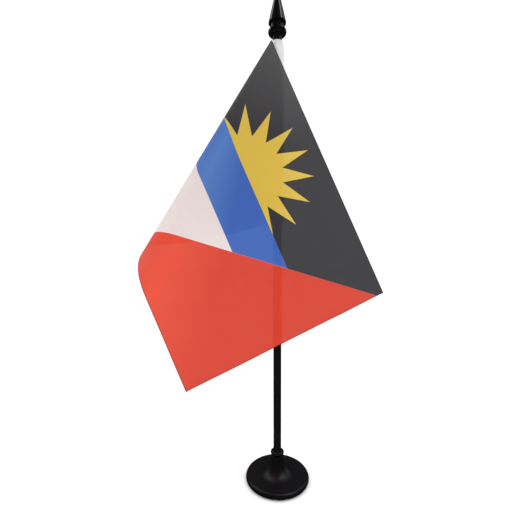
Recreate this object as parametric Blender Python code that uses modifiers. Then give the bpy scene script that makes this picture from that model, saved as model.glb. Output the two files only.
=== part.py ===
"""Desk flag stand: a weighted round base, a plug-in pole with a spear finial, and a small cloth flag.

Metres, +Z up. The origin is the centre of the base's underside, and the pole stands on the Z axis.
The flag is folded over at the left, so that its free corner hangs in front of the pole (-Y side).
"""

import math

import bmesh
import bpy
from mathutils import Matrix, Vector

# ---------------------------------------------------------------- driving dimensions
TOUCH_GAP = 0.0003        # between pieces that rest on or lie against each other

BASE_RADIUS = 0.0218
BASE_TOP = 0.0043         # height of the disc's top at its middle
BASE_CROWN = 0.0006       # how much lower the disc's top is where its rim starts to round
RIM_LIFT = 0.0005         # the shell's rim stays this far above the desk
RIM_ROUND = 0.0022        # radius of the rim's upper rounding
SHELL_WALL = 0.0015

BOSS_TOP = 0.0166         # top of the neck that holds the pole
BOSS_RADIUS = 0.0040      # at its top
BOSS_DRAFT = 0.0005       # the neck is this much wider at its foot
BOSS_FILLET = 0.0110      # sweep from the neck into the disc
BOSS_EDGE = 0.0005

PAD_THICKNESS = 0.0010
PAD_MARGIN = 0.0023       # from the pad's edge to the base's outer radius
PAD_CLEARANCE = 0.0003
WEIGHT_CLEARANCE = 0.0010

SPIGOT_CLEARANCE = 0.0002  # round the pole's two plugs, in their sockets
FOOT_SPIGOT_RADIUS = 0.0020
FOOT_SOCKET_DEPTH = 0.0120
POLE_FOOT_RADIUS = 0.0026
POLE_TOP_RADIUS = 0.0032
BEAD_RADIUS = 0.0046
BEAD_HEIGHT = 0.0024
POLE_SHOULDER = 0.3087    # height where the finial's collar starts
TOP_SPIGOT_RADIUS = 0.0019
TOP_SOCKET_DEPTH = 0.0105

COLLAR_RADIUS = 0.0064
COLLAR_HEIGHT = 0.0032
COLLAR_EDGE = 0.0005      # rounding of its upper edge
COLLAR_UNDERCUT = 0.0019  # rounding of its lower edge
NECK_RADIUS = 0.0046
NECK_HEIGHT = 0.0048
CONE_RADIUS = 0.0062
CONE_HEIGHT = 0.0255      # from its flat underside to the rounded tip
TIP_RADIUS = 0.0008
CONE_EDGE = 0.0006        # rounding of the spear's lower edge

SLEEVE_RADIUS = 0.0046
SLEEVE_WALL = 0.0004
SLEEVE_RISE = 0.0012      # the sleeve starts this far above the flag's top corner
SLEEVE_TAPER = 0.0045     # height over which its snug top end widens

CLOTH_THICKNESS = 0.0004
FLAG_DROP = 0.1400        # height of the flat cloth
FLAG_REACH = 0.1880       # length of the flat cloth, from the sleeve to the free edge
SEAM_LENGTH = 0.1250      # the seam draws the cloth's height up to this at the sleeve
GATHER_REACH = 0.0700     # the cloth has its full height this far from the sleeve
FLAG_HANG = 0.0061        # the corner that the folds spread from is this far below the pole's shoulder
CORNER_SIDE = 0.0043      # that corner's distance to the left of the pole's axis
CORNER_START = 0.0060     # the modelled cloth starts this far from that corner
HOIST_LEAN_BACK = math.radians(1.95)
HOIST_LEAN_LEFT = math.radians(0.55)
BACK_SWEEP = math.radians(23.1)   # angle of the flat back layer, seen from the corner
BACK_TWIST = math.radians(1.9)
ROLL_ANGLE = math.radians(6.07)   # the fold's roll is a cone with this half angle
ROLL_TURN = math.radians(188.3)
LAP_END = math.radians(150.0)     # the seam's lap ends at this angle round the sleeve

THREAD_RADIUS = 0.0002
STITCH_PITCH = 0.0050     # one full zigzag
STITCH_WIDTH = 0.0016
STITCH_ANGLE = math.radians(160.0)
STITCH_MARGIN = 0.0030    # from the seam's ends to the first and last stitch

ROUND_STEPS = 48          # facets round the turned pieces
MERGE = 0.00001

# ---------------------------------------------------------------- sizes that follow
PAD_RADIUS = BASE_RADIUS - PAD_MARGIN
RECESS_RADIUS = PAD_RADIUS + PAD_CLEARANCE
CEILING = BASE_TOP - SHELL_WALL
WEIGHT_RADIUS = RECESS_RADIUS - WEIGHT_CLEARANCE
WEIGHT_BOTTOM = PAD_THICKNESS + TOUCH_GAP
WEIGHT_TOP = CEILING - TOUCH_GAP
FOOT_SOCKET_FLOOR = BOSS_TOP - FOOT_SOCKET_DEPTH
BEAD_BOTTOM = BOSS_TOP + TOUCH_GAP
BEAD_TOP = BEAD_BOTTOM + BEAD_HEIGHT
COLLAR_BOTTOM = POLE_SHOULDER + TOUCH_GAP
COLLAR_TOP = COLLAR_BOTTOM + COLLAR_HEIGHT
CONE_BOTTOM = COLLAR_TOP + NECK_HEIGHT
CONE_TOP = CONE_BOTTOM + CONE_HEIGHT
TOP_SOCKET_CEILING = COLLAR_BOTTOM + TOP_SOCKET_DEPTH
LAP_RADIUS = SLEEVE_RADIUS + TOUCH_GAP + CLOTH_THICKNESS / 2
FLAG_TOP = POLE_SHOULDER - FLAG_HANG
CORNER = Vector((-CORNER_SIDE, -LAP_RADIUS, FLAG_TOP))
SLEEVE_TOP = FLAG_TOP + SLEEVE_RISE
SLEEVE_BOTTOM = FLAG_TOP - SEAM_LENGTH
THREAD_LINE = LAP_RADIUS + CLOTH_THICKNESS / 2 + TOUCH_GAP + THREAD_RADIUS


# ---------------------------------------------------------------- scene and materials
def clear_scene():
    for thing in list(bpy.data.objects):
        bpy.data.objects.remove(thing, do_unlink=True)


def make_material(name, colour, roughness, metallic=0.0):
    material = bpy.data.materials.new(name)
    material.use_nodes = True
    shader = material.node_tree.nodes["Principled BSDF"]
    shader.inputs["Base Color"].default_value = (*colour, 1.0)
    shader.inputs["Roughness"].default_value = roughness
    shader.inputs["Metallic"].default_value = metallic
    material.diffuse_color = (*colour, 1.0)
    return material


def make_collection(name):
    collection = bpy.data.collections.new(name)
    bpy.context.scene.collection.children.link(collection)
    return collection


def add_object(name, mesh, material, collection):
    mesh.materials.append(material)
    thing = bpy.data.objects.new(name, mesh)
    collection.objects.link(thing)
    return thing


def shade_round(mesh):
    mesh.shade_smooth()
    mesh.set_sharp_from_angle(angle=math.radians(35))


# ---------------------------------------------------------------- shape helpers
def arc(radius, height, size, start, end, steps):
    """Points along an arc about (radius, height); angles in degrees from +R, turning towards +Z."""
    points = []
    for step in range(steps + 1):
        angle = math.radians(start + (end - start) * step / steps)
        points.append((radius + size * math.cos(angle), height + size * math.sin(angle)))
    return points


def turned(name, profile, material, collection, origin_height=0.0):
    """A solid of revolution. The profile is (radius, height) points, outer side running downwards."""
    mesh = bpy.data.meshes.new(name)
    closed = profile[0] == profile[-1]
    outline = profile[:-1] if closed else profile
    verts = [(radius, 0.0, height - origin_height) for radius, height in outline]
    edges = [(i, i + 1) for i in range(len(verts) - 1)]
    if closed:
        edges.append((len(verts) - 1, 0))
    mesh.from_pydata(verts, edges, [])
    thing = add_object(name, mesh, material, collection)
    thing.location = (0.0, 0.0, origin_height)
    screw = thing.modifiers.new("Turn", "SCREW")
    screw.axis = "Z"
    screw.angle = 2 * math.pi
    screw.steps = ROUND_STEPS
    screw.render_steps = ROUND_STEPS
    screw.use_smooth_shade = True
    screw.use_merge_vertices = True
    screw.merge_threshold = MERGE
    return thing


def disc(name, radius, bottom, top, material, collection):
    mesh = bpy.data.meshes.new(name)
    shape = bmesh.new()
    bmesh.ops.create_cone(
        shape, cap_ends=True, segments=ROUND_STEPS, radius1=radius, radius2=radius, depth=top - bottom
    )
    shape.to_mesh(mesh)
    shape.free()
    shade_round(mesh)
    thing = add_object(name, mesh, material, collection)
    thing.location = (0.0, 0.0, (bottom + top) / 2)
    return thing


# ---------------------------------------------------------------- base
def build_base_pad(material, collection):
    return disc("base_pad", PAD_RADIUS, 0.0, PAD_THICKNESS, material, collection)


def build_base_weight(material, collection):
    return disc("base_weight", WEIGHT_RADIUS, WEIGHT_BOTTOM, WEIGHT_TOP, material, collection)


def build_base_shell(material, collection):
    """One moulding: rounded disc, neck with the pole's socket, and a recess for weight and pad."""
    socket_radius = FOOT_SPIGOT_RADIUS + SPIGOT_CLEARANCE
    neck_foot = BOSS_RADIUS + BOSS_DRAFT
    rim_top = BASE_TOP - BASE_CROWN
    rim_centre = BASE_RADIUS - RIM_ROUND
    rim_low = rim_top - RIM_ROUND
    rim_under = rim_low - RIM_LIFT
    profile = [(0.0, FOOT_SOCKET_FLOOR), (socket_radius, FOOT_SOCKET_FLOOR), (socket_radius, BOSS_TOP)]
    profile += arc(BOSS_RADIUS - BOSS_EDGE, BOSS_TOP - BOSS_EDGE, BOSS_EDGE, 90, 0, 3)
    profile += arc(neck_foot + BOSS_FILLET, BASE_TOP + BOSS_FILLET, BOSS_FILLET, 180, 270, 8)
    profile += arc(rim_centre, rim_low, RIM_ROUND, 90, 0, 6)
    profile += arc(BASE_RADIUS - rim_under, rim_low, rim_under, 0, -90, 4)[1:]
    profile += [(RECESS_RADIUS, RIM_LIFT), (RECESS_RADIUS, CEILING), (0.0, CEILING)]
    return turned("base_shell", profile, material, collection)


# ---------------------------------------------------------------- pole and finial
def build_pole(material, collection):
    """A tapered rod with a bead that stops on the neck, and a plug at each end."""
    foot_end = FOOT_SOCKET_FLOOR + TOUCH_GAP
    top_end = TOP_SOCKET_CEILING - TOUCH_GAP
    bead_round = BEAD_HEIGHT / 2
    profile = [(0.0, top_end), (TOP_SPIGOT_RADIUS, top_end), (TOP_SPIGOT_RADIUS, POLE_SHOULDER)]
    profile += [(POLE_TOP_RADIUS, POLE_SHOULDER), (POLE_FOOT_RADIUS, BEAD_TOP)]
    profile += arc(BEAD_RADIUS - bead_round, BEAD_BOTTOM + bead_round, bead_round, 90, -90, 8)
    profile += [(FOOT_SPIGOT_RADIUS, BEAD_BOTTOM), (FOOT_SPIGOT_RADIUS, foot_end), (0.0, foot_end)]
    return turned("pole", profile, material, collection, BEAD_BOTTOM)


def build_finial(material, collection):
    """A spear point: rounded tip, straight cone, neck, and a rounded collar with the socket in it."""
    socket_radius = TOP_SPIGOT_RADIUS + SPIGOT_CLEARANCE
    slope = math.degrees(math.atan2(CONE_RADIUS - CONE_EDGE, CONE_HEIGHT - CONE_EDGE))
    profile = [(0.0, CONE_TOP)] + arc(0.0, CONE_TOP - TIP_RADIUS, TIP_RADIUS, 90, slope, 4)[1:]
    edge_height = CONE_BOTTOM + CONE_EDGE
    profile += arc(CONE_RADIUS - CONE_EDGE, edge_height, CONE_EDGE, slope, -90, 5)
    profile += [(NECK_RADIUS, CONE_BOTTOM), (NECK_RADIUS, COLLAR_TOP)]
    profile += arc(COLLAR_RADIUS - COLLAR_EDGE, COLLAR_TOP - COLLAR_EDGE, COLLAR_EDGE, 90, 0, 4)
    under_radius = COLLAR_RADIUS - COLLAR_UNDERCUT
    profile += arc(under_radius, COLLAR_BOTTOM + COLLAR_UNDERCUT, COLLAR_UNDERCUT, 0, -90, 6)
    profile += [(socket_radius, COLLAR_BOTTOM), (socket_radius, TOP_SOCKET_CEILING)]
    profile += [(0.0, TOP_SOCKET_CEILING)]
    return turned("finial", profile, material, collection, COLLAR_BOTTOM)


# ---------------------------------------------------------------- cloth
def pole_radius(height):
    """The tapered rod's radius at a height between its bead and its shoulder."""
    share = (height - BEAD_TOP) / (POLE_SHOULDER - BEAD_TOP)
    return POLE_FOOT_RADIUS + (POLE_TOP_RADIUS - POLE_FOOT_RADIUS) * share


def build_sleeve(material, collection):
    """A round cloth tube, loose on the pole and snug round it at its top end."""
    snug = pole_radius(SLEEVE_TOP) + TOUCH_GAP
    taper_end = SLEEVE_TOP - SLEEVE_TAPER
    loose = SLEEVE_RADIUS - SLEEVE_WALL
    profile = [(snug + SLEEVE_WALL, SLEEVE_TOP), (SLEEVE_RADIUS, taper_end), (SLEEVE_RADIUS, SLEEVE_BOTTOM)]
    profile += [(loose, SLEEVE_BOTTOM), (loose, taper_end), (snug, SLEEVE_TOP), profile[0]]
    return turned("hoist_sleeve", profile, material, collection, SLEEVE_BOTTOM)


def fold_directions(angles):
    """Unit vectors from the flag's corner, for angles measured in the flat cloth from the hoist.

    On the unit sphere they follow a great circle (the flat back layer), then a small circle
    (the roll of the fold), then another great circle (the flat front layer).
    """
    start = Vector((-math.sin(HOIST_LEAN_LEFT), math.sin(HOIST_LEAN_BACK), -math.cos(HOIST_LEAN_BACK)))
    start.normalize()
    ahead = Vector((-math.cos(BACK_TWIST), math.sin(BACK_TWIST), 0.0))
    ahead = (ahead - start * ahead.dot(start)).normalized()
    back_axis = start.cross(ahead)
    roll_start = Matrix.Rotation(BACK_SWEEP, 3, back_axis) @ start
    roll_axis = roll_start * math.cos(ROLL_ANGLE) - back_axis * math.sin(ROLL_ANGLE)
    turn = Matrix.Rotation(-ROLL_TURN, 3, roll_axis)
    front_start = turn @ roll_start
    front_axis = turn @ back_axis
    roll_length = ROLL_TURN * math.sin(ROLL_ANGLE)
    directions = []
    for angle in angles:
        past_roll = angle - BACK_SWEEP - roll_length
        if angle <= BACK_SWEEP:
            direction = Matrix.Rotation(angle, 3, back_axis) @ start
        elif past_roll <= 0.0:
            rolled = (angle - BACK_SWEEP) / math.sin(ROLL_ANGLE)
            direction = Matrix.Rotation(-rolled, 3, roll_axis) @ roll_start
        else:
            direction = Matrix.Rotation(past_roll, 3, front_axis) @ front_start
        directions.append(direction)
    return directions


def spread(start, end, steps):
    """Angles after start, evenly spaced, up to and with end."""
    return [start + (end - start) * (step + 1) / steps for step in range(steps)]


def cloth_length(angle):
    """Distance from the corner to the cloth's edge: the gathered lower edge, then the free edge."""
    if angle < math.atan2(FLAG_REACH, FLAG_DROP):
        lift = FLAG_DROP - SEAM_LENGTH
        slanted = SEAM_LENGTH / (math.cos(angle) - math.sin(angle) * lift / GATHER_REACH)
        return min(slanted, FLAG_DROP / math.cos(angle))
    return FLAG_REACH / math.sin(angle)


def build_flag(material, collection):
    """The folded cloth: a lap on the sleeve, the back layer, the rolled fold and the front layer."""
    roll_end = BACK_SWEEP + ROLL_TURN * math.sin(ROLL_ANGLE)
    free_corner = math.atan2(FLAG_REACH, FLAG_DROP)
    angles = [0.0] + spread(0.0, BACK_SWEEP, 4) + spread(BACK_SWEEP, roll_end, 14)
    angles += spread(roll_end, free_corner, 3) + spread(free_corner, math.pi / 2, 5)
    rings = [0.0, 0.04, 0.12, 0.3, 0.65, 1.0]
    columns = []
    for angle, direction in zip(angles, fold_directions(angles)):
        reach = cloth_length(angle) - CORNER_START
        columns.append([CORNER + direction * (CORNER_START + reach * ring) for ring in rings])
    hoist = columns[0]
    for share in (0.0, 0.25, 0.5, 0.75, 1.0):
        lap = []
        for point in hoist:
            start = math.atan2(point.y, point.x) % (2 * math.pi)
            angle = start + (LAP_END - start) * share
            lap.append(Vector((LAP_RADIUS * math.cos(angle), LAP_RADIUS * math.sin(angle), point.z)))
        columns.insert(0, lap)
    rows = len(rings)
    verts = [point for column in columns for point in column]
    faces = []
    for i in range(len(columns) - 1):
        for j in range(rows - 1):
            corner = i * rows + j
            faces.append((corner, corner + 1, corner + rows + 1, corner + rows))
    mesh = bpy.data.meshes.new("flag_panel")
    mesh.from_pydata(verts, [], faces)
    shade_round(mesh)
    thing = add_object("flag_panel", mesh, material, collection)
    wall = thing.modifiers.new("Cloth", "SOLIDIFY")
    wall.thickness = CLOTH_THICKNESS
    wall.offset = 0.0
    wall.use_even_offset = True
    return thing


def build_stitching(material, collection):
    """The zigzag thread that sews the cloth's lap to the sleeve, as one line that lies on the lap."""
    top = hoist_height(CORNER_START) - STITCH_MARGIN
    bottom = hoist_height(SEAM_LENGTH) + STITCH_MARGIN
    count = int((top - bottom) / (STITCH_PITCH / 2))
    swing = STITCH_WIDTH / 2 / THREAD_LINE
    curve = bpy.data.curves.new("hoist_stitching", "CURVE")
    curve.dimensions = "3D"
    curve.bevel_depth = THREAD_RADIUS
    curve.bevel_resolution = 1
    curve.use_fill_caps = True
    line = curve.splines.new("POLY")
    line.points.add(count)
    for index, point in enumerate(line.points):
        angle = STITCH_ANGLE + (swing if index % 2 else -swing)
        height = top - index * STITCH_PITCH / 2
        point.co = (THREAD_LINE * math.cos(angle), THREAD_LINE * math.sin(angle), height, 1.0)
    return add_object("hoist_stitching", curve, material, collection)


def hoist_height(distance):
    """Height of the point of the hoist that is this far from the flag's corner."""
    return CORNER.z + fold_directions([0.0])[0].z * distance


# ---------------------------------------------------------------- assembly
def main():
    clear_scene()
    stand = make_collection("desk_flag_stand")
    base_plastic = make_material("base_plastic", (0.006, 0.005, 0.007), 0.35)
    pole_plastic = make_material("pole_plastic", (0.007, 0.007, 0.008), 0.30)
    finial_plastic = make_material("finial_plastic", (0.006, 0.006, 0.006), 0.15)
    weight_steel = make_material("weight_steel", (0.45, 0.45, 0.47), 0.40, 1.0)
    pad_foam = make_material("pad_foam", (0.02, 0.02, 0.02), 0.95)
    sleeve_cloth = make_material("sleeve_cloth", (0.85, 0.84, 0.82), 0.90)
    flag_cloth = make_material("flag_cloth", (0.70, 0.08, 0.05), 0.80)
    thread = make_material("thread", (0.80, 0.80, 0.78), 0.80)

    build_base_pad(pad_foam, stand)
    build_base_weight(weight_steel, stand)
    build_base_shell(base_plastic, stand)
    build_pole(pole_plastic, stand)
    build_finial(finial_plastic, stand)
    build_sleeve(sleeve_cloth, stand)
    build_flag(flag_cloth, stand)
    build_stitching(thread, stand)


main()
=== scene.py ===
# %% [markdown]
# A small cloth flag on a desk stand. The stand is three black mouldings: a weighted round base,
# a slim tapered pole with a bead near its foot, and a spear finial. The flag is thin printed
# polyester, sewn to a white sleeve and folded over, so that its free corner hangs in front of
# the pole. This lesson keeps the measured frame and builds the visible surfaces around it.

# %% Load the frame
import math

import bpy
import numpy as np
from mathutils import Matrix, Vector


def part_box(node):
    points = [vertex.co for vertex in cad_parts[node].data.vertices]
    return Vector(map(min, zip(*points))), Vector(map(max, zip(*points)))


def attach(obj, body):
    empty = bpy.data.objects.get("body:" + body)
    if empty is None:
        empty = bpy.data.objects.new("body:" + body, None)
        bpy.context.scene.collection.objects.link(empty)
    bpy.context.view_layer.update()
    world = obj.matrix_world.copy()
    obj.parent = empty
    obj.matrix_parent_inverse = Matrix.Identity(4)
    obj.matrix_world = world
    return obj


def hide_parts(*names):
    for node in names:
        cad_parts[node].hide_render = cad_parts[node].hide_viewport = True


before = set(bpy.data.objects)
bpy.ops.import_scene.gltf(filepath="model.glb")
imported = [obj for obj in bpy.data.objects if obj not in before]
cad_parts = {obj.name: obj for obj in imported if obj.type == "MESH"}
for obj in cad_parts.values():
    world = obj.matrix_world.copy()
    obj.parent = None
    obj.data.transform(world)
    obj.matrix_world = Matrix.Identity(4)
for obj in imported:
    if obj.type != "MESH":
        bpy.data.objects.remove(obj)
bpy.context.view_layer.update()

MM = 0.001
print("frame:", sorted(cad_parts))

# %% [markdown]
# The camera stands close by with a wide lens, so the base is seen from above and the finial from
# below in one view. It is level, at about the middle of the pole's height and a little to its
# left.

# %% Camera
CAMERA_DISTANCE = 0.22366
CAMERA_HEIGHT = 0.15726
CAMERA_SIDE = -0.01244
SENSOR_WIDTH, LENS_LENGTH = 36.0, 22.1965318

camera_data = bpy.data.cameras.new("camera")
camera = bpy.data.objects.new("camera", camera_data)
bpy.context.scene.collection.objects.link(camera)
camera.location = (CAMERA_SIDE, -CAMERA_DISTANCE, CAMERA_HEIGHT)
camera.rotation_euler = (math.radians(90), 0.0, 0.0)
camera_data.sensor_fit = "HORIZONTAL"
camera_data.sensor_width = SENSOR_WIDTH
camera_data.lens = LENS_LENGTH
camera_data.clip_start = 0.01
bpy.context.scene.camera = camera
bpy.context.scene.view_settings.view_transform = "Standard"
print("lens", round(camera_data.lens, 1), "mm")

# %% [markdown]
# A plain material is one Principled shader. These helpers keep the node code short: one makes
# the material, one adds a node with its settings, and one joins two values with a Math node.


# %% Node helpers
def new_material(name):
    """An empty material with only its output node."""
    material = bpy.data.materials.new(name)
    material.use_nodes = True
    material.node_tree.nodes.clear()
    output = material.node_tree.nodes.new("ShaderNodeOutputMaterial")
    return material, material.node_tree, output


def node(tree, kind, **settings):
    """A node of that kind, with attributes or input values set by name."""
    made = tree.nodes.new(kind)
    for key, value in settings.items():
        if hasattr(made, key):
            setattr(made, key, value)
        else:
            made.inputs[key.replace("_", " ")].default_value = value
    return made


def link(tree, source, target):
    """Joins an output to an input."""
    tree.links.new(source, target)


def math_node(tree, operation, first, second=None, third=None, clamp=False):
    """The output of a Math node. Numbers are set on its sockets, and sockets are joined to it."""
    made = tree.nodes.new("ShaderNodeMath")
    made.operation = operation
    made.use_clamp = clamp
    for socket, value in zip(made.inputs, (first, second, third)):
        if value is None:
            continue
        if isinstance(value, (int, float)):
            socket.default_value = value
        else:
            link(tree, value, socket)
    return made.outputs[0]


def mix_colour(tree, share, first, second, blend="MIX"):
    """The output of a colour mix. Each colour is a tuple or a socket."""
    made = tree.nodes.new("ShaderNodeMix")
    made.data_type = "RGBA"
    made.blend_type = blend
    made.clamp_factor = True
    factor, colour_a, colour_b = made.inputs[0], made.inputs[6], made.inputs[7]
    for socket, value in ((factor, share), (colour_a, first), (colour_b, second)):
        if isinstance(value, (int, float)):
            socket.default_value = value
        elif isinstance(value, tuple):
            socket.default_value = (*value, 1.0)
        else:
            link(tree, value, socket)
    return made.outputs[2]


# %% [markdown]
# The stage is a pale floor under a pale dome that glows evenly, as a light tent does. Both are
# kept out of the reflections, where a nearly black room stands in for them, so that the black
# plastic stays deep. It shows only the soft boxes: a high and a low one on each side, which draw
# the strips down the spear and the soft spots on the base, and a faint one behind.

# %% Stage and light
DOME_RADIUS = 3.0
DOME_GLOW = 1.10
ROOM_GREY = 0.03
FLOOR_GREY = 0.93


def glow_material(name, strength):
    """A surface that only gives off white light."""
    material, tree, output = new_material(name)
    light = node(tree, "ShaderNodeEmission", Strength=strength)
    link(tree, light.outputs[0], output.inputs[0])
    return material


def stage_piece(name, material):
    """Takes the object just added as part of the stage, and keeps it out of reflections."""
    piece = bpy.context.object
    piece.name = name
    piece.data.materials.append(material)
    piece.visible_glossy = False
    return piece


bpy.ops.mesh.primitive_circle_add(vertices=96, radius=DOME_RADIUS, fill_type="NGON")
floor_material, floor_tree, floor_output = new_material("pale_floor")
floor_shader = node(floor_tree, "ShaderNodeBsdfDiffuse", Color=(FLOOR_GREY, FLOOR_GREY, FLOOR_GREY, 1.0))
link(floor_tree, floor_shader.outputs[0], floor_output.inputs[0])
floor = stage_piece("floor", floor_material)

bpy.ops.mesh.primitive_uv_sphere_add(segments=64, ring_count=32, radius=DOME_RADIUS * 1.01)
dome = stage_piece("dome", glow_material("dome_glow", DOME_GLOW))
dome.data.shade_smooth()

world = bpy.data.worlds.new("studio_room")
world.use_nodes = True
room = world.node_tree.nodes["Background"]
room.inputs[0].default_value = (ROOM_GREY, ROOM_GREY, ROOM_GREY, 1.0)
bpy.context.scene.world = world


def soft_box(name, place, aim, width, height, brightness):
    """A rectangular area light that points from its place towards a point. Its power is pi times
    its brightness times its area, so that a larger box is no brighter to look at."""
    data = bpy.data.lights.new(name, "AREA")
    data.shape = "RECTANGLE"
    data.size = width
    data.size_y = height
    data.energy = math.pi * brightness * width * height
    lamp = bpy.data.objects.new(name, data)
    bpy.context.scene.collection.objects.link(lamp)
    lamp.location = place
    lamp.visible_camera = False
    direction = np.array(aim) - np.array(place)
    yaw = math.atan2(direction[1], direction[0]) - math.pi / 2
    pitch = math.atan2(direction[2], math.hypot(direction[0], direction[1]))
    lamp.rotation_euler = (math.radians(90) + pitch, 0.0, yaw)
    return lamp


MIDDLE = (0.0, 0.0, 0.17)
soft_box("left_high_box", (-0.72, 0.32, 1.30), MIDDLE, 0.40, 1.1, 1.3)
soft_box("right_high_box", (0.58, -0.26, 1.45), MIDDLE, 0.24, 1.1, 3.8)
soft_box("left_low_box", (-0.85, 0.30, 0.72), MIDDLE, 0.30, 1.10, 0.50)
soft_box("right_low_box", (0.85, 0.30, 0.72), MIDDLE, 0.30, 1.10, 0.85)
soft_box("back_box", (0.0, 1.30, 1.05), MIDDLE, 1.3, 0.7, 0.08)
print("stage and lights ready")

# %% [markdown]
# Each moulding is round, so its surface is one profile carried round the Z axis. It could be made
# with a Screw modifier, but worked out as arrays it can take a wobble, such as a parting line. A
# profile is a list of (radius, height) points in millimetres, and a round edge is a short arc.


# %% Turned surfaces
SHARP_ANGLE = math.radians(40)


def arc(radius, height, size, start, end, steps=8):
    """Points (radius + size cos a, height + size sin a), for angles a from start to end."""
    angles = np.radians(np.linspace(start, end, steps + 1))
    return np.stack([radius + size * np.cos(angles), height + size * np.sin(angles)], axis=1)


def mesh_object(name, points, faces, material):
    """A smooth-shaded mesh object at the origin, from arrays of points in metres and faces."""
    mesh = bpy.data.meshes.new(name)
    mesh.from_pydata(points.tolist(), [], faces)
    mesh.update()
    mesh.shade_smooth()
    mesh.materials.append(material)
    made = bpy.data.objects.new(name, mesh)
    bpy.context.scene.collection.objects.link(made)
    return made


def grid_faces(rows, columns, wrap):
    """Quads that join a grid of rows x columns points, closed round the columns if wrap is set."""
    steps = columns if wrap else columns - 1
    i, j = np.meshgrid(np.arange(rows - 1), np.arange(steps), indexing="ij")
    here, below = i * columns, (i + 1) * columns
    k = (j + 1) % columns
    return np.stack([here + j, below + j, below + k, here + k], axis=-1).reshape(-1, 4)


def turned(name, profile, material, steps=128, wobble=None):
    """A profile carried round the Z axis: x = r cos a, y = r sin a, z = h. The profile runs down the
    outer side. It ends on the axis with one point there, or closes on itself.
    wobble(radius, angle, height), in millimetres, adds to the radius."""
    profile = np.asarray(profile, float)
    closed = np.allclose(profile[0], profile[-1])
    if closed:
        profile = profile[:-1]
    on_axis = profile[:, 0] < 1e-9
    body = profile[~on_axis]
    angle = np.linspace(0.0, 2 * math.pi, steps, endpoint=False)
    radius = np.repeat(body[:, :1], steps, axis=1)
    height = np.repeat(body[:, 1:], steps, axis=1)
    if wobble is not None:
        radius = radius + wobble(radius, angle[None, :], height)
    points = np.stack([radius * np.cos(angle), radius * np.sin(angle), height], axis=-1).reshape(-1, 3)
    rows = len(body)
    faces = grid_faces(rows, steps, True).tolist()
    ring = np.arange(steps)
    if closed:
        first, last = ring, ring + (rows - 1) * steps
        joined = np.stack([last, first, np.roll(first, -1), np.roll(last, -1)], axis=-1)
        faces += joined.tolist()
    if on_axis[0]:
        tip = len(points)
        points = np.concatenate([points, [[0.0, 0.0, profile[0, 1]]]])
        faces += np.stack([np.full(steps, tip), ring, np.roll(ring, -1)], axis=-1).tolist()
    if on_axis[-1]:
        tip = len(points)
        last = ring + (rows - 1) * steps
        points = np.concatenate([points, [[0.0, 0.0, profile[-1, 1]]]])
        faces += np.stack([np.full(steps, tip), np.roll(last, -1), last], axis=-1).tolist()
    made = mesh_object(name, points * MM, faces, material)
    made.data.set_sharp_from_angle(angle=SHARP_ANGLE)
    return made


# %% [markdown]
# Black moulded plastic is nearly black inside, with a skin that is glossy or satin. One flat
# value would look like paint. A fine noise changes the roughness a little from place to place,
# and a finer one gives the skin its faint orange-peel bump, so that highlights break up as they
# do on a real moulding.


# %% Black plastic
PATCH_SCALE = 120.0
PATCH_LIFT = 1.5
PLASTIC_IOR = 1.5


def black_plastic(name, colour, roughness, spread, peel_scale, peel_height):
    """A black moulding. Its roughness runs from roughness - spread to roughness + spread, and the
    peel is a bump of peel_height metres."""
    material, tree, output = new_material(name)
    shader = node(tree, "ShaderNodeBsdfPrincipled")
    shader.inputs["IOR"].default_value = PLASTIC_IOR
    place = node(tree, "ShaderNodeTexCoord")
    patches = node(tree, "ShaderNodeTexNoise", Scale=PATCH_SCALE, Detail=4.0, Roughness=0.6)
    link(tree, place.outputs["Object"], patches.inputs["Vector"])
    rough = node(tree, "ShaderNodeMapRange", To_Min=roughness - spread, To_Max=roughness + spread)
    link(tree, patches.outputs[0], rough.inputs["Value"])
    link(tree, rough.outputs[0], shader.inputs["Roughness"])
    tint = mix_colour(tree, patches.outputs[0], colour, tuple(c * PATCH_LIFT for c in colour))
    link(tree, tint, shader.inputs["Base Color"])
    peel = node(tree, "ShaderNodeTexNoise", Scale=peel_scale, Detail=2.0, Roughness=0.5)
    link(tree, place.outputs["Object"], peel.inputs["Vector"])
    bump = node(tree, "ShaderNodeBump", Strength=0.6, Distance=peel_height)
    link(tree, peel.outputs[0], bump.inputs["Height"])
    link(tree, bump.outputs[0], shader.inputs["Normal"])
    link(tree, shader.outputs[0], output.inputs[0])
    return material


base_plastic = black_plastic("base_plastic", (0.0020, 0.0016, 0.0022), 0.37, 0.05, 1500.0, 0.00002)
pole_plastic = black_plastic("pole_plastic", (0.0032, 0.0030, 0.0036), 0.42, 0.05, 1800.0, 0.00002)
finial_plastic = black_plastic("finial_plastic", (0.0018, 0.0018, 0.0018), 0.16, 0.03, 900.0, 0.00001)
print("plastics:", base_plastic.name, pole_plastic.name, finial_plastic.name)

# %% [markdown]
# The base is one moulding: a low disc whose rim is rounded, and a neck that sweeps up out of the
# disc and takes the pole's plug. Underneath, a round recess holds the weight and the pad. The
# sweep is a wide quarter circle, which gives the base its bell shape and catches the soft boxes.

# %% Base
base_low, base_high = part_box("base_shell")
BASE_RADIUS = base_high.x / MM
NECK_TOP = base_high.z / MM
RIM_LIFT = base_low.z / MM
DISC_TOP = 4.3
CROWN = 0.6
RIM_ROUND = 2.2
NECK_RADIUS = 4.0
NECK_FOOT = 4.5
NECK_EDGE = 0.5
SWEEP = 11.0
SOCKET_RADIUS = 2.2
SOCKET_FLOOR = 4.6
RECESS_RADIUS = 19.8
CEILING = 2.8

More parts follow.
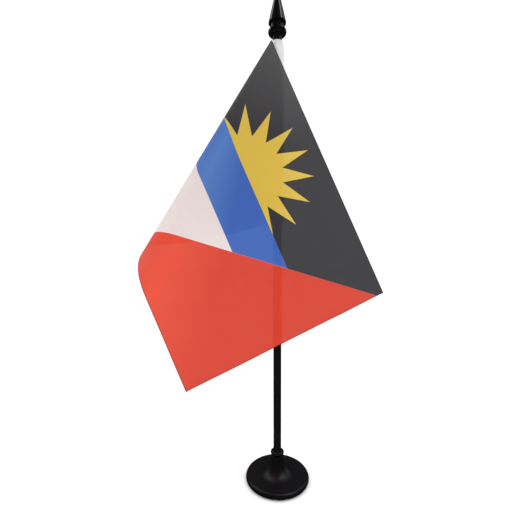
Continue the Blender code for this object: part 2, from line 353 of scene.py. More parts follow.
rim_low = DISC_TOP - CROWN - RIM_ROUND
rim_under = rim_low - RIM_LIFT
base_profile = np.concatenate([
    [[0.0, SOCKET_FLOOR], [SOCKET_RADIUS, SOCKET_FLOOR], [SOCKET_RADIUS, NECK_TOP]],
    arc(NECK_RADIUS - NECK_EDGE, NECK_TOP - NECK_EDGE, NECK_EDGE, 90, 0, 8),
    arc(NECK_FOOT + SWEEP, DISC_TOP + SWEEP, SWEEP, 180, 270, 32),
    arc(BASE_RADIUS - RIM_ROUND, rim_low, RIM_ROUND, 90, 0, 20),
    arc(BASE_RADIUS - rim_under, rim_low, rim_under, 0, -90, 12)[1:],
    [[RECESS_RADIUS, RIM_LIFT], [RECESS_RADIUS, CEILING], [0.0, CEILING]],
])
base = turned("base_moulding", base_profile, base_plastic, steps=160)
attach(base, "base")
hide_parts("base_shell")
print("base", len(base.data.polygons), "faces")

# %% [markdown]
# The pole is a tapered rod, thicker at the top. Its bead is a turned ring that stops on the neck,
# and it has a plug at each end. The mould leaves two fine parting lines down its sides.

# %% Pole
pole_low, pole_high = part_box("pole")
FOOT_END, TOP_END = pole_low.z / MM, pole_high.z / MM
TOUCH_GAP = 0.3
BEAD_BOTTOM = NECK_TOP + TOUCH_GAP
BEAD_HEIGHT = 2.4
BEAD_RADIUS = pole_high.x / MM
BEAD_TOP = BEAD_BOTTOM + BEAD_HEIGHT
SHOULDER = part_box("finial")[0].z / MM - TOUCH_GAP
FOOT_RADIUS, TOP_RADIUS = 2.6, 3.2
FOOT_PLUG, TOP_PLUG = 2.0, 1.9
RIDGE_HEIGHT, RIDGE_HALF_WIDTH = 0.05, 0.12


def parting_line(radius, angle, height):
    """Two ridges on opposite sides: a height times exp(-(distance / half width) squared), where
    the distance from the mould's plane is the radius times sin a. The axis itself stays put."""
    away = np.abs(np.sin(angle)) * radius
    return RIDGE_HEIGHT * np.exp(-((away / RIDGE_HALF_WIDTH) ** 2)) * (radius > 1.0)


rod = np.linspace([TOP_RADIUS, SHOULDER], [FOOT_RADIUS, BEAD_TOP], 60)
half_bead = BEAD_HEIGHT / 2
pole_profile = np.concatenate([
    [[0.0, TOP_END], [TOP_PLUG, TOP_END], [TOP_PLUG, SHOULDER]],
    rod,
    arc(BEAD_RADIUS - half_bead, BEAD_BOTTOM + half_bead, half_bead, 90, -90, 24),
    [[FOOT_PLUG, BEAD_BOTTOM], [FOOT_PLUG, FOOT_END], [0.0, FOOT_END]],
])
pole = turned("pole_rod", pole_profile, pole_plastic, steps=96, wobble=parting_line)
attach(pole, "pole")
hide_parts("pole")
print("pole", len(pole.data.polygons), "faces")

# %% [markdown]
# The finial is a glossy spear point: a straight cone with a rounded tip and a rounded lower edge,
# a short neck, and a collar that sits on the pole's shoulder. The collar's lower edge is a wide
# round. A socket runs up the middle for the pole's plug.

# %% Finial
finial_low, finial_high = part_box("finial")
COLLAR_BOTTOM, CONE_TOP = finial_low.z / MM, finial_high.z / MM
COLLAR_RADIUS = finial_high.x / MM
COLLAR_HEIGHT = 3.2
COLLAR_EDGE = 0.5
COLLAR_UNDERCUT = 1.9
SPEAR_NECK = 4.6
CONE_RADIUS = 6.2
NECK_HEIGHT = 4.8
COLLAR_TOP = COLLAR_BOTTOM + COLLAR_HEIGHT
CONE_BOTTOM = COLLAR_TOP + NECK_HEIGHT
TIP_ROUND = 0.8
CONE_EDGE = 0.6
TOP_SOCKET = 2.1
SOCKET_DEPTH = 10.5
SOCKET_CEILING = COLLAR_BOTTOM + SOCKET_DEPTH

cone_slope = math.degrees(math.atan2(CONE_RADIUS - CONE_EDGE, CONE_TOP - CONE_BOTTOM - CONE_EDGE))
finial_profile = np.concatenate([
    [[0.0, CONE_TOP]],
    arc(0.0, CONE_TOP - TIP_ROUND, TIP_ROUND, 90, cone_slope, 8)[1:],
    arc(CONE_RADIUS - CONE_EDGE, CONE_BOTTOM + CONE_EDGE, CONE_EDGE, cone_slope, -90, 8),
    [[SPEAR_NECK, CONE_BOTTOM], [SPEAR_NECK, COLLAR_TOP]],
    arc(COLLAR_RADIUS - COLLAR_EDGE, COLLAR_TOP - COLLAR_EDGE, COLLAR_EDGE, 90, 0, 8),
    arc(COLLAR_RADIUS - COLLAR_UNDERCUT, COLLAR_BOTTOM + COLLAR_UNDERCUT, COLLAR_UNDERCUT, 0, -90, 16),
    [[TOP_SOCKET, COLLAR_BOTTOM], [TOP_SOCKET, SOCKET_CEILING], [0.0, SOCKET_CEILING]],
])
finial = turned("spear_finial", finial_profile, finial_plastic, steps=128, wobble=parting_line)
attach(finial, "finial")
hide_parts("finial")
print("finial", len(finial.data.polygons), "faces")

# %% [markdown]
# Under the base there is a disc of soft foam, so that the stand doesn't scratch a desk, and inside
# it a punched steel disc gives the weight. The foam is a turned disc with a soft edge. The steel
# disc is out of sight, so the frame's own solid stays and only gets its finish.

# %% Pad and weight
FOAM_CELL = 0.0006


def foam_material():
    """Black foam rubber: a matt skin over cells, which are the borders of a Voronoi pattern."""
    material, tree, output = new_material("pad_foam")
    shader = node(tree, "ShaderNodeBsdfPrincipled", Roughness=0.95)
    place = node(tree, "ShaderNodeTexCoord")
    cells = node(tree, "ShaderNodeTexVoronoi", Scale=1.0 / FOAM_CELL)
    link(tree, place.outputs["Object"], cells.inputs["Vector"])
    tint = mix_colour(tree, cells.outputs["Distance"], (0.010, 0.010, 0.010), (0.030, 0.030, 0.031))
    link(tree, tint, shader.inputs["Base Color"])
    bump = node(tree, "ShaderNodeBump", Strength=0.8, Distance=0.00015)
    link(tree, cells.outputs["Distance"], bump.inputs["Height"])
    link(tree, bump.outputs[0], shader.inputs["Normal"])
    link(tree, shader.outputs[0], output.inputs[0])
    return material


def steel_material():
    """Bright punched steel, with rolling marks: noise that is stretched along one direction."""
    material, tree, output = new_material("weight_steel")
    shader = node(tree, "ShaderNodeBsdfPrincipled", Metallic=1.0)
    place = node(tree, "ShaderNodeTexCoord")
    stretch = node(tree, "ShaderNodeMapping", Scale=(80.0, 3000.0, 3000.0))
    link(tree, place.outputs["Object"], stretch.inputs["Vector"])
    marks = node(tree, "ShaderNodeTexNoise", Scale=1.0, Detail=3.0)
    link(tree, stretch.outputs[0], marks.inputs["Vector"])
    tint = mix_colour(tree, marks.outputs[0], (0.40, 0.40, 0.42), (0.60, 0.60, 0.62))
    link(tree, tint, shader.inputs["Base Color"])
    rough = node(tree, "ShaderNodeMapRange", To_Min=0.30, To_Max=0.50)
    link(tree, marks.outputs[0], rough.inputs["Value"])
    link(tree, rough.outputs[0], shader.inputs["Roughness"])
    link(tree, shader.outputs[0], output.inputs[0])
    return material


pad_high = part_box("base_pad")[1]
PAD_RADIUS, PAD_TOP = pad_high.x / MM, pad_high.z / MM
PAD_EDGE = 0.35
pad_profile = np.concatenate([
    [[0.0, PAD_TOP]],
    arc(PAD_RADIUS - PAD_EDGE, PAD_TOP - PAD_EDGE, PAD_EDGE, 90, 0, 6),
    arc(PAD_RADIUS - PAD_EDGE, PAD_EDGE, PAD_EDGE, 0, -90, 6),
    [[0.0, 0.0]],
])
pad = turned("foam_pad", pad_profile, foam_material(), steps=128)
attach(pad, "base")
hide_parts("base_pad")

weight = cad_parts["base_weight"]
weight.data.materials.clear()
weight.data.materials.append(steel_material())
print("pad", len(pad.data.polygons), "faces")

# %% [markdown]
# The flag is one flat rectangle of cloth. Every point of it has two flat measures: u, how far it is
# from the sleeve, and v, how far it is below the top edge. The cloth hangs from one corner, so it
# folds as a cone does: each straight line from that corner stays straight. A direction is worked
# out for each angle from the sleeve, on the unit sphere: first a great circle, which is the flat
# back layer, then a small circle, which is the roll of the fold, and then a great circle again.

# %% Fold
CORNER = np.array([-4.3, -5.1, 302.6])
LEAN_BACK, LEAN_LEFT = math.radians(1.95), math.radians(0.55)
BACK_SWEEP = math.radians(23.1)
BACK_TWIST = math.radians(1.9)
ROLL_ANGLE = math.radians(6.07)
ROLL_TURN = math.radians(188.3)
ROLL_LENGTH = ROLL_TURN * math.sin(ROLL_ANGLE)
FLAG_REACH, FLAG_DROP, SEAM_LENGTH, GATHER_REACH = 188.0, 140.0, 125.0, 70.0


def unit(vector):
    return vector / np.linalg.norm(vector)


def rotated(vector, axis, angle):
    """Rodrigues' formula: the vector turned about the unit axis by each angle."""
    angle = np.asarray(angle)[..., None]
    across = np.cross(axis, vector)
    along = axis * (axis @ vector)
    return vector * np.cos(angle) + across * np.sin(angle) + along * (1.0 - np.cos(angle))


start = unit(np.array([-math.sin(LEAN_LEFT), math.sin(LEAN_BACK), -math.cos(LEAN_BACK)]))
ahead = np.array([-math.cos(BACK_TWIST), math.sin(BACK_TWIST), 0.0])
ahead = unit(ahead - start * (ahead @ start))
back_axis = np.cross(start, ahead)
roll_start = rotated(start, back_axis, BACK_SWEEP)
roll_axis = roll_start * math.cos(ROLL_ANGLE) - back_axis * math.sin(ROLL_ANGLE)
front_start = rotated(roll_start, roll_axis, -ROLL_TURN)
front_axis = rotated(back_axis, roll_axis, -ROLL_TURN)


def fold_direction(angle):
    """The unit direction from the corner for each flat angle from the sleeve."""
    in_roll = (angle > BACK_SWEEP)[..., None]
    in_front = (angle > BACK_SWEEP + ROLL_LENGTH)[..., None]
    back = rotated(start, back_axis, angle)
    roll = rotated(roll_start, roll_axis, -(angle - BACK_SWEEP) / math.sin(ROLL_ANGLE))
    front = rotated(front_start, front_axis, angle - BACK_SWEEP - ROLL_LENGTH)
    return np.where(in_front, front, np.where(in_roll, roll, back))


def folded(u, v):
    """Places flat points on the fold: the corner plus their distance from it, along their direction."""
    distance = np.hypot(u, v)
    return CORNER + distance[..., None] * fold_direction(np.arctan2(u, v))


# %% [markdown]
# At the sleeve the cloth is sewn to a shorter length, so it is gathered: small horizontal puckers
# take up the spare height and die out away from the seam. Elsewhere the cloth hangs almost flat,
# with slow ripples along the straight lines of the fold. A cloth simulation could make both, but
# would put them where its steps left them. Here they are pushes along the surface's normal, worked
# out for the whole grid at once, so each stays where it is set. Behind the seam a lap of the cloth
# follows the sleeve.

# %% Flag surface
FIRST_RING = 0.4
ROWS = 110
PUCKER_LENGTH = 13.0
PUCKER_HEIGHT = 0.9
PUCKER_RISE = 8.0
PUCKER_FULL_DROP = 60.0
RIPPLE_SHARE = 0.0011
RIPPLE_START = 60.0
CLOTH = 0.16
LAP_RADIUS = 5.1
LAP_END = math.radians(150)
JOIN_ANGLE, JOIN_ANGLE_PER_MM = math.radians(10), math.radians(6)
BEND_PULL = 2.2


def flat_length(angle):
    """Distance from the corner to the cloth's edge in the flat: the lower edge, then the free edge."""
    with np.errstate(divide="ignore"):
        return np.minimum(FLAG_DROP / np.cos(angle), FLAG_REACH / np.maximum(np.sin(angle), 1e-9))


def drawn_up(u, v):
    """The height v of a flat point once the seam has drawn the cloth up beside the sleeve."""
    near = np.clip(1.0 - u / GATHER_REACH, 0.0, 1.0) ** 1.5
    return v * (1.0 - (1.0 - SEAM_LENGTH / FLAG_DROP) * near)


def puckers(u, v):
    """Waves down the seam: the pucker's height times sin(2 pi v / length + a drifting phase). They
    rise from the seam, die out by the gather's reach and at the fold, and are low near the tip."""
    rise = np.clip(u / PUCKER_RISE, 0.0, 1.0)
    fade = np.clip(1.0 - u / GATHER_REACH, 0.0, 1.0) ** 2
    off_tip = np.clip(v / PUCKER_FULL_DROP, 0.0, 1.0)
    off_fold = np.clip(1.0 - np.arctan2(u, v) / BACK_SWEEP, 0.0, 1.0)
    phase = 0.8 * np.sin(v / 17.0) + u / 30.0
    wave = np.sin(2 * math.pi * v / PUCKER_LENGTH + phase)
    return PUCKER_HEIGHT * rise * fade * off_tip * off_fold * wave


def ripples(u, v):
    """Slow waves along the lines of the fold: a share of the distance from the corner times two
    sines of the flat angle."""
    angle, distance = np.arctan2(u, v), np.hypot(u, v)
    wave = np.sin(21.0 * angle + 0.6) + 0.6 * np.sin(37.0 * angle + distance / 70.0)
    return RIPPLE_SHARE * distance * wave * np.clip(distance / RIPPLE_START, 0.0, 1.0)


def angles_of_columns():
    """Flat angles of the grid's columns: close together in the roll, where the cloth turns fastest."""
    roll_end = BACK_SWEEP + ROLL_LENGTH
    free_corner = math.atan2(FLAG_REACH, FLAG_DROP)
    spans = [(0.0, BACK_SWEEP, 70), (BACK_SWEEP, roll_end, 110), (roll_end, free_corner, 45)]
    spans += [(free_corner, math.pi / 2, 110)]
    return np.concatenate([[0.0]] + [np.linspace(a, b, n + 1)[1:] for a, b, n in spans])


def surface_normal(points):
    """Unit normals of a grid of points, from the cross product of its two slopes."""
    normal = np.cross(np.gradient(points, axis=1), np.gradient(points, axis=0))
    return normal / np.linalg.norm(normal, axis=-1, keepdims=True)


def flag_panel():
    """Grid of the cloth from the seam to its free edges, as points and as flat (u, v)."""
    angle = angles_of_columns()[None, :]
    share = np.linspace(0.0, 1.0, ROWS + 1)[:, None]
    distance = FIRST_RING + (flat_length(angle) - FIRST_RING) * share
    u, v = distance * np.sin(angle), distance * np.cos(angle)
    points = folded(u, drawn_up(u, v))
    points = points + surface_normal(points) * (puckers(u, v) + ripples(u, v))[..., None]
    return points, u, v


def flag_lap(hoist, heading, height):
    """The cloth's border behind the seam. From the hoist line it bends back on a Hermite curve,
    which meets the sleeve further round the further off the hoist is, and then follows the sleeve
    as an arc of the lap's radius."""
    azimuth = np.arctan2(hoist[:, 1], hoist[:, 0]) % (2 * math.pi)
    radius = np.hypot(hoist[:, 0], hoist[:, 1])
    join = azimuth - JOIN_ANGLE - JOIN_ANGLE_PER_MM * (radius - LAP_RADIUS)
    turn = np.linspace(0.0, 1.0, 11)[None, :, None]
    first = hoist[:, None, :2]
    last = LAP_RADIUS * np.stack([np.cos(join), np.sin(join)], -1)[:, None, :]
    leave = -heading[:, None, :2] * BEND_PULL
    arrive = np.stack([np.sin(join), -np.cos(join)], -1)[:, None, :] * BEND_PULL
    bend = (first * (2 * turn**3 - 3 * turn**2 + 1) + leave * (turn**3 - 2 * turn**2 + turn)
            + last * (3 * turn**2 - 2 * turn**3) + arrive * (turn**3 - turn**2))
    share = np.linspace(0.0, 1.0, 25)[None, 1:]
    around = join[:, None] + (LAP_END - join[:, None]) * share
    arc_points = LAP_RADIUS * np.stack([np.cos(around), np.sin(around)], -1)
    plan = np.concatenate([bend, arc_points], axis=1)
    points = np.concatenate([plan, np.repeat(hoist[:, None, 2:], plan.shape[1], axis=1)], axis=-1)
    step = np.linalg.norm(np.diff(plan, axis=1), axis=-1)
    u = -np.concatenate([np.zeros((len(hoist), 1)), np.cumsum(step, axis=1)], axis=1)
    v = np.repeat(height[:, None], plan.shape[1], axis=1)
    return points[:, :0:-1], u[:, :0:-1], v[:, :0:-1]


panel_points, panel_u, panel_v = flag_panel()
heading = panel_points[:, 1] - panel_points[:, 0]
heading = heading / np.linalg.norm(heading, axis=1, keepdims=True)
lap_points, lap_u, lap_v = flag_lap(panel_points[:, 0], heading, panel_v[:, 0])
flag_points = np.concatenate([lap_points, panel_points], axis=1)
flag_uv = np.stack([np.concatenate([lap_u, panel_u], 1), np.concatenate([lap_v, panel_v], 1)], -1)

# %% [markdown]
# The print is drawn in the flat measures u and v, so it stays with the cloth wherever that folds.
# It is a red field with a V that comes down from the top edge. The V is banded black, blue and
# white, and half a sun with straight rays stands on the black band. An image would blur when seen
# close, so each border is a half plane, and one ray's straight side serves for all of them, with
# the angle round the sun folded back and forth by a ping-pong. The red and the blue are painted a
# little paler beside the fold: a painted highlight where the roll of the fold catches the light.

# %% Print
SOFT_EDGE = 0.30
V_MIDDLE, V_HALF, V_SLOPE = 80.0, 112.0, 0.83
BLACK_BAND, BLUE_BAND = 54.3, 82.6
SUN_HEIGHT, RAY_REACH, NOTCH_REACH, RAY_STEP = 55.0, 46.5, 25.5, 22.5
SEALED_EDGE = 0.45
# Painted light: near the top corner the print is mixed towards grey, so its dark parts read lighter
# there.
TOP_LIGHT_REACH, TOP_LIGHT_SHARE, TOP_LIGHT_GREY = 75.0, 0.10, (0.62, 0.61, 0.60)
# Painted highlight: beside the fold the red and the blue are mixed towards these lighter copies.
FOLD_HIGHLIGHT_ANGLE, LIT_RED, LIT_BLUE = 0.20, (0.78, 0.070, 0.030), (0.088, 0.205, 0.54)
BURNT = (0.45, 0.42, 0.42)
RED, WHITE, BLACK = (0.65, 0.044, 0.018), (0.78, 0.70, 0.685), (0.034, 0.032, 0.036)
BLUE, YELLOW = (0.040, 0.124, 0.46), (0.69, 0.48, 0.064)


def inside(tree, value, limit):
    """1 where the value is under the limit and 0 where it is over it, with a narrow soft border."""
    gap = math_node(tree, "SUBTRACT", limit, value)
    return math_node(tree, "MULTIPLY_ADD", gap, 1.0 / SOFT_EDGE, 0.5, clamp=True)


def length_of(tree, first, second):
    """The square root of the sum of two squares."""
    squares = [math_node(tree, "POWER", value, 2.0) for value in (first, second)]
    return math_node(tree, "SQRT", math_node(tree, "ADD", *squares))


def sun_shape(tree, u, v):
    """The sun's mask. A point at radius r and folded angle a is inside a ray's straight side where
    r cos a * n sin h + r sin a * (t - n cos h) < t n sin h, for tip t, notch n and half step h."""
    across = math_node(tree, "SUBTRACT", u, V_MIDDLE)
    up = math_node(tree, "SUBTRACT", SUN_HEIGHT, v)
    radius = length_of(tree, across, up)
    angle = math_node(tree, "ARCTAN2", across, up)
    half = math.radians(RAY_STEP / 2)
    folded_angle = math_node(tree, "PINGPONG", angle, half)
    along = math_node(tree, "MULTIPLY", radius, math_node(tree, "COSINE", folded_angle))
    aside = math_node(tree, "MULTIPLY", radius, math_node(tree, "SINE", folded_angle))
    side_along, side_aside = NOTCH_REACH * math.sin(half), RAY_REACH - NOTCH_REACH * math.cos(half)
    side = math.hypot(side_along, side_aside)
    distance = math_node(tree, "MULTIPLY_ADD", aside, side_aside / side,
                         math_node(tree, "MULTIPLY", along, side_along / side))
    return inside(tree, distance, RAY_REACH * side_along / side)


def fold_highlight(tree, u, v):
    """1 on the fold, where the red and blue get a painted highlight, and 0 from the highlight's angle
    away from it.
    """
    angle = math_node(tree, "ARCTAN2", u, v)
    from_fold = math_node(tree, "SUBTRACT", angle, BACK_SWEEP + ROLL_LENGTH)
    share = math_node(tree, "DIVIDE", math_node(tree, "ABSOLUTE", from_fold), FOLD_HIGHLIGHT_ANGLE)
    return math_node(tree, "SUBTRACT", 1.0, share, clamp=True)


def printed_colour(tree, u, v):
    """The print's colour at flat point (u, v), in millimetres, with a painted highlight beside the fold.
    """
    fold_lit = fold_highlight(tree, u, v)
    spread = math_node(tree, "ABSOLUTE", math_node(tree, "SUBTRACT", u, V_MIDDLE))
    in_v = inside(tree, math_node(tree, "MULTIPLY_ADD", v, V_SLOPE, spread), V_HALF)
    # Painted highlight: beside the fold the red and the blue are mixed towards lighter copies of
    # themselves.
    red = mix_colour(tree, fold_lit, RED, LIT_RED)
    colour = mix_colour(tree, in_v, red, WHITE)
    in_blue = math_node(tree, "MULTIPLY", in_v, inside(tree, v, BLUE_BAND))
    blue = mix_colour(tree, fold_lit, BLUE, LIT_BLUE)
    colour = mix_colour(tree, in_blue, colour, blue)
    in_black = math_node(tree, "MULTIPLY", in_v, inside(tree, v, BLACK_BAND))
    colour = mix_colour(tree, in_black, colour, BLACK)
    in_sun = math_node(tree, "MULTIPLY", sun_shape(tree, u, v), in_black)
    return mix_colour(tree, in_sun, colour, YELLOW)


print("the V comes down", round(V_HALF / V_SLOPE, 1), "mm from the top edge")

# %% [markdown]
# The cloth is thin woven polyester. Most light bounces off it, some comes through it in its own
# colour, and a little goes straight through between the threads. The sheet is a thin closed solid,
# so a ray meets two surfaces, and the inner side of each is left clear: one layer acts once.

# %% Flag cloth
WEAVE_PITCH = 0.45
THROUGH_THREADS = 0.15
BETWEEN_THREADS = 0.018
WEAVE_DEPTH = 0.012
CREASE_SCALE, CREASE_DEPTH = 55.0, 0.35
STREAK_STRETCH, STREAK_SHADE = (60.0, 900.0, 1.0), (0.90, 0.90, 0.90)
CLOTH_ROUGHNESS, FLAG_SHEEN = 0.75, 0.10


def weave_height(tree, u, v, pitch):
    """A plain weave: sin(2 pi u / pitch) times sin(2 pi v / pitch), plus half of
    sin(pi (u + v) / pitch)."""
    turns = 2 * math.pi / pitch
    warp = math_node(tree, "SINE", math_node(tree, "MULTIPLY", u, turns))
    weft = math_node(tree, "SINE", math_node(tree, "MULTIPLY", v, turns))
    diagonal = math_node(tree, "ADD", u, v)
    over = math_node(tree, "SINE", math_node(tree, "MULTIPLY", diagonal, turns / 2))
    crossing = math_node(tree, "MULTIPLY", over, 0.5)
    return math_node(tree, "ADD", math_node(tree, "MULTIPLY", warp, weft), crossing)


def cloth_material(name, colour_of, pitch, through, between, sheen):
    """Thin cloth on the piece's own flat measures. colour_of(tree, u, v) gives its colour."""
    material, tree, output = new_material(name)
    flat = node(tree, "ShaderNodeUVMap", uv_map="flat")
    split = node(tree, "ShaderNodeSeparateXYZ")
    link(tree, flat.outputs[0], split.inputs[0])
    u = math_node(tree, "MULTIPLY", split.outputs[0], 1 / MM)
    v = math_node(tree, "MULTIPLY", split.outputs[1], 1 / MM)
    colour = colour_of(tree, u, v)

    streaks = node(tree, "ShaderNodeTexNoise", Scale=1.0, Detail=3.0, Roughness=0.6)
    stretch = node(tree, "ShaderNodeMapping", Scale=STREAK_STRETCH)
    link(tree, flat.outputs[0], stretch.inputs["Vector"])
    link(tree, stretch.outputs[0], streaks.inputs["Vector"])
    darker = mix_colour(tree, 1.0, colour, STREAK_SHADE, "MULTIPLY")
    colour = mix_colour(tree, streaks.outputs[0], darker, colour)

    creases = node(
        tree, "ShaderNodeTexNoise", Scale=CREASE_SCALE, Detail=5.0, Roughness=0.55, Distortion=0.6)
    link(tree, flat.outputs[0], creases.inputs["Vector"])
    weave = math_node(tree, "MULTIPLY", weave_height(tree, u, v, pitch), WEAVE_DEPTH)
    height = math_node(tree, "MULTIPLY_ADD", creases.outputs[0], CREASE_DEPTH, weave)
    bump = node(tree, "ShaderNodeBump", Strength=1.0, Distance=MM)
    link(tree, height, bump.inputs["Height"])

    skin = node(tree, "ShaderNodeBsdfPrincipled", Roughness=CLOTH_ROUGHNESS)
    skin.inputs["Specular IOR Level"].default_value = 0.25
    skin.inputs["Sheen Weight"].default_value = sheen
    skin.inputs["Sheen Roughness"].default_value = 0.45
    link(tree, colour, skin.inputs["Base Color"])
    link(tree, bump.outputs[0], skin.inputs["Normal"])
    glow = node(tree, "ShaderNodeBsdfTranslucent")
    link(tree, colour, glow.inputs["Color"])
    link(tree, bump.outputs[0], glow.inputs["Normal"])
    body = node(tree, "ShaderNodeMixShader", Fac=through)
    link(tree, skin.outputs[0], body.inputs[1])
    link(tree, glow.outputs[0], body.inputs[2])
    gaps = node(tree, "ShaderNodeBsdfTransparent")
    open_weave = node(tree, "ShaderNodeMixShader", Fac=between)
    link(tree, body.outputs[0], open_weave.inputs[1])
    link(tree, gaps.outputs[0], open_weave.inputs[2])
    side = node(tree, "ShaderNodeNewGeometry")
    inner = node(tree, "ShaderNodeBsdfTransparent")
    layer = node(tree, "ShaderNodeMixShader")
    link(tree, side.outputs["Backfacing"], layer.inputs[0])
    link(tree, open_weave.outputs[0], layer.inputs[1])
    link(tree, inner.outputs[0], layer.inputs[2])
    link(tree, layer.outputs[0], output.inputs[0])
    return material


def flag_colour(tree, u, v):
    """The print, mixed a little towards grey near the top corner as painted light, which lightens its
    dark parts there, and with the heat-sealed border along the three free edges a little darker."""
    colour = printed_colour(tree, u, v)
    # Painted light: towards the top corner the colour is washed towards grey, as if that corner were lit
    # more from above.
    share = math_node(tree, "DIVIDE", length_of(tree, u, v), TOP_LIGHT_REACH)
    top_light_share = math_node(tree, "SUBTRACT", 1.0, share, clamp=True)
    colour = mix_colour(tree, math_node(tree, "MULTIPLY", top_light_share, TOP_LIGHT_SHARE), colour, TOP_LIGHT_GREY)
    free = math_node(tree, "SUBTRACT", FLAG_REACH, u)
    low = math_node(tree, "SUBTRACT", FLAG_DROP, v)
    nearest = math_node(tree, "MINIMUM", math_node(tree, "MINIMUM", free, low), v)
    sealed = inside(tree, nearest, SEALED_EDGE)
    burnt = mix_colour(tree, 1.0, colour, BURNT, "MULTIPLY")
    return mix_colour(tree, sealed, colour, burnt)


flag_cloth = cloth_material(
    "flag_cloth", flag_colour, WEAVE_PITCH, THROUGH_THREADS, BETWEEN_THREADS, FLAG_SHEEN)
print("flag cloth", len(flag_cloth.node_tree.nodes), "nodes")

# %% [markdown]
# The grid becomes a mesh. Its flat measures go into a UV map in metres, one pair for each corner of
# each face, and Solidify gives the sheet its thickness.


# %% Flag mesh
def cloth_object(name, points, flat, material, wrap=False):
    """A cloth sheet from a grid of points in millimetres. Its flat measures go into a UV map in
    metres."""
    rows, columns = points.shape[:2]
    faces = grid_faces(rows, columns, wrap)
    made = mesh_object(name, points.reshape(-1, 3) * MM, faces.tolist(), material)
    layer = made.data.uv_layers.new(name="flat")
    layer.data.foreach_set("uv", (flat.reshape(-1, 2)[faces.ravel()] * MM).astype(np.float32).ravel())
    return made


def thicken(piece, thickness):
    """A wall of that thickness, in millimetres, half on each side of the surface."""
    wall = piece.modifiers.new("Wall", "SOLIDIFY")
    wall.thickness = thickness * MM
    wall.offset = 0.0
    wall.use_even_offset = True
    return wall


flag = cloth_object("flag_cloth_panel", flag_points, flag_uv, flag_cloth)
thicken(flag, CLOTH)
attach(flag, "flag")
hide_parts("flag_panel")
print("flag", len(flag.data.polygons), "faces")

# %% [markdown]
# The sleeve is a white strip of the same kind of cloth, sewn into a tube round the pole. It is
# loose, so slow wrinkles run down it, and its top end is drawn in, which holds it up. It is a
# turned wall whose radius is pushed in and out by three waves of different lengths.

# %% Sleeve
sleeve_low, sleeve_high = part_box("hoist_sleeve")
SLEEVE_BOTTOM, SLEEVE_TOP = sleeve_low.z / MM, sleeve_high.z / MM
SLEEVE_RADIUS = 4.6
SLEEVE_WALL = 0.24
SLEEVE_TAPER = 4.5
POLE_RADIUS_THERE, POLE_GAP, SNUG_ROOM = 3.19, 0.3, 0.4
SNUG_RADIUS = POLE_RADIUS_THERE + POLE_GAP + SNUG_ROOM
WRINKLE_PITCH, WRINKLE_HEIGHT, WRINKLE_ROOM, SNUG_WRINKLE = 11.0, 0.055, 0.15, 0.35
HEM_HEIGHT, HEM_SHADE = 4.0, 0.94
SLEEVE_WEAVE, SLEEVE_THROUGH, SLEEVE_BETWEEN, SLEEVE_SHEEN = 0.5, 0.30, 0.02, 0.15
SLEEVE_WHITE = (0.94, 0.935, 0.935)


def sleeve_surface(rows=150, columns=120):
    """Radius by height: from the snug to the loose radius along a smooth step over the taper, plus
    three sines of the angle whose phases run with the height, which make long wrinkles."""
    height = np.linspace(SLEEVE_TOP, SLEEVE_BOTTOM, rows)[:, None]
    angle = np.linspace(0.0, 2 * math.pi, columns, endpoint=False)[None, :]
    open_share = np.clip((SLEEVE_TOP - height) / SLEEVE_TAPER, 0.0, 1.0)
    open_share = open_share * open_share * (3 - 2 * open_share)
    radius = SNUG_RADIUS + (SLEEVE_RADIUS - WRINKLE_ROOM - SNUG_RADIUS) * open_share
    run = height / WRINKLE_PITCH
    wrinkle = np.sin(5 * angle + run) + 0.7 * np.sin(9 * angle - 0.6 * run)
    wrinkle = wrinkle + 0.5 * np.sin(2 * angle + 1.7 * run)
    radius = radius + WRINKLE_HEIGHT * wrinkle * (SNUG_WRINKLE + (1 - SNUG_WRINKLE) * open_share)
    points = np.stack([radius * np.cos(angle), radius * np.sin(angle), np.repeat(height, columns, 1)], -1)
    around = np.repeat(angle * SLEEVE_RADIUS, rows, 0)
    flat = np.stack([around, np.repeat(SLEEVE_TOP - height, columns, 1)], -1)
    return points, flat


def sleeve_colour(tree, u, v):
    """White, with the doubled hems at both ends a touch darker."""
    length = SLEEVE_TOP - SLEEVE_BOTTOM
    from_end = math_node(tree, "MINIMUM", v, math_node(tree, "SUBTRACT", length, v))
    hem = inside(tree, from_end, HEM_HEIGHT)
    return mix_colour(tree, hem, SLEEVE_WHITE, tuple(c * HEM_SHADE for c in SLEEVE_WHITE))


sleeve_points, sleeve_flat = sleeve_surface()
sleeve_cloth = cloth_material(
    "sleeve_cloth", sleeve_colour, SLEEVE_WEAVE, SLEEVE_THROUGH, SLEEVE_BETWEEN, SLEEVE_SHEEN)
sleeve = cloth_object("sleeve_tube", sleeve_points, sleeve_flat, sleeve_cloth, wrap=True)
thicken(sleeve, SLEEVE_WALL)
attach(sleeve, "sleeve")
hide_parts("hoist_sleeve")
print("sleeve", len(sleeve.data.polygons), "faces")

# %% [markdown]
# One zigzag thread sews the flag's lap to the sleeve. It is a real thread: a small tube carried
# along a path that crosses over the cloth between stitches and dives into it at each turn.

# %% Stitching
THREAD_RADIUS = 0.17
STITCH_ANGLE = math.radians(160)
STITCH_PITCH, STITCH_WIDTH, STITCH_DIP, TURN_ROUNDING = 5.0, 1.6, 0.22, 0.35
THREAD_DARK, THREAD_LIGHT = (0.66, 0.65, 0.63), (0.86, 0.85, 0.83)
thread_low, thread_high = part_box("hoist_stitching")


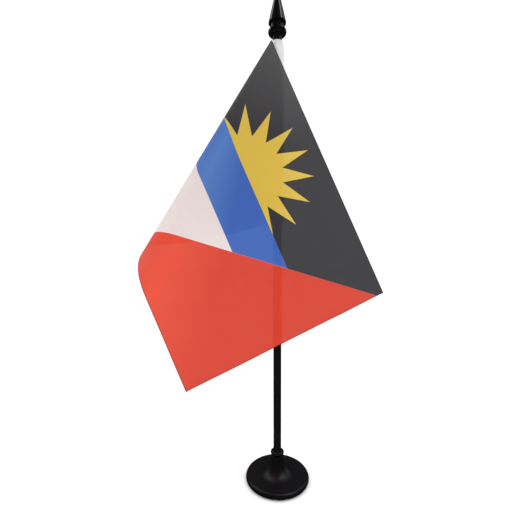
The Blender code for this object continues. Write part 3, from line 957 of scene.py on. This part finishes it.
def swept_tube(name, path, radius, material, sides=8):
    """A tube along a path: at each point a ring of that radius, square to the path. Its frame is
    the direction, the axis' outward direction, and their cross product."""
    direction = np.gradient(path, axis=0)
    direction /= np.linalg.norm(direction, axis=1, keepdims=True)
    outward = path * np.array([1.0, 1.0, 0.0])
    aside = np.cross(direction, outward)
    aside /= np.linalg.norm(aside, axis=1, keepdims=True)
    lift = np.cross(aside, direction)
    turn = np.linspace(0.0, 2 * math.pi, sides, endpoint=False)
    ring = np.cos(turn)[None, :, None] * aside[:, None] + np.sin(turn)[None, :, None] * lift[:, None]
    points = path[:, None] + radius * ring
    faces = grid_faces(len(path), sides, True).tolist()
    faces += [list(range(sides)), list(range(len(path) * sides - 1, (len(path) - 1) * sides - 1, -1))]
    return mesh_object(name, points.reshape(-1, 3) * MM, faces, material)


def thread_path(top, bottom, steps=6):
    """Zigzag round the sleeve's axis. The angle is a triangle wave of the height with a share of a
    sine, which rounds its turns. The radius is the lap's, half the cloth's thickness and the
    thread's, less a dip at each turn: the wave's size to the sixth power."""
    turns = int((top - bottom) / (STITCH_PITCH / 2))
    t = np.linspace(0.0, turns, turns * steps + 1)
    wave = np.abs((t % 2.0) - 1.0) * 2.0 - 1.0
    rounded_wave = np.sin(wave * math.pi / 2) * TURN_ROUNDING + wave * (1 - TURN_ROUNDING)
    line = LAP_RADIUS + CLOTH / 2 + THREAD_RADIUS
    angle = STITCH_ANGLE + rounded_wave * STITCH_WIDTH / 2 / line
    radius = line - STITCH_DIP * np.abs(wave) ** 6
    height = top - t * STITCH_PITCH / 2
    return np.stack([radius * np.cos(angle), radius * np.sin(angle), height], axis=1)


def thread_material():
    """Twisted polyester thread: slanted ridges that repeat along its height."""
    material, tree, output = new_material("thread")
    shader = node(tree, "ShaderNodeBsdfPrincipled", Roughness=0.6)
    shader.inputs["Sheen Weight"].default_value = 0.3
    place = node(tree, "ShaderNodeTexCoord")
    twist = node(tree, "ShaderNodeTexWave", Scale=900.0, Distortion=0.5, bands_direction="DIAGONAL")
    link(tree, place.outputs["Object"], twist.inputs["Vector"])
    tint = mix_colour(tree, twist.outputs["Fac"], THREAD_DARK, THREAD_LIGHT)
    link(tree, tint, shader.inputs["Base Color"])
    bump = node(tree, "ShaderNodeBump", Strength=0.7, Distance=0.00005)
    link(tree, twist.outputs["Fac"], bump.inputs["Height"])
    link(tree, bump.outputs[0], shader.inputs["Normal"])
    link(tree, shader.outputs[0], output.inputs[0])
    return material


thread_line = thread_path(thread_high.z / MM, thread_low.z / MM)
thread = swept_tube("hoist_thread", thread_line, THREAD_RADIUS, thread_material())
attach(thread, "flag")
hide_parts("hoist_stitching")
print("thread", len(thread.data.polygons), "faces")
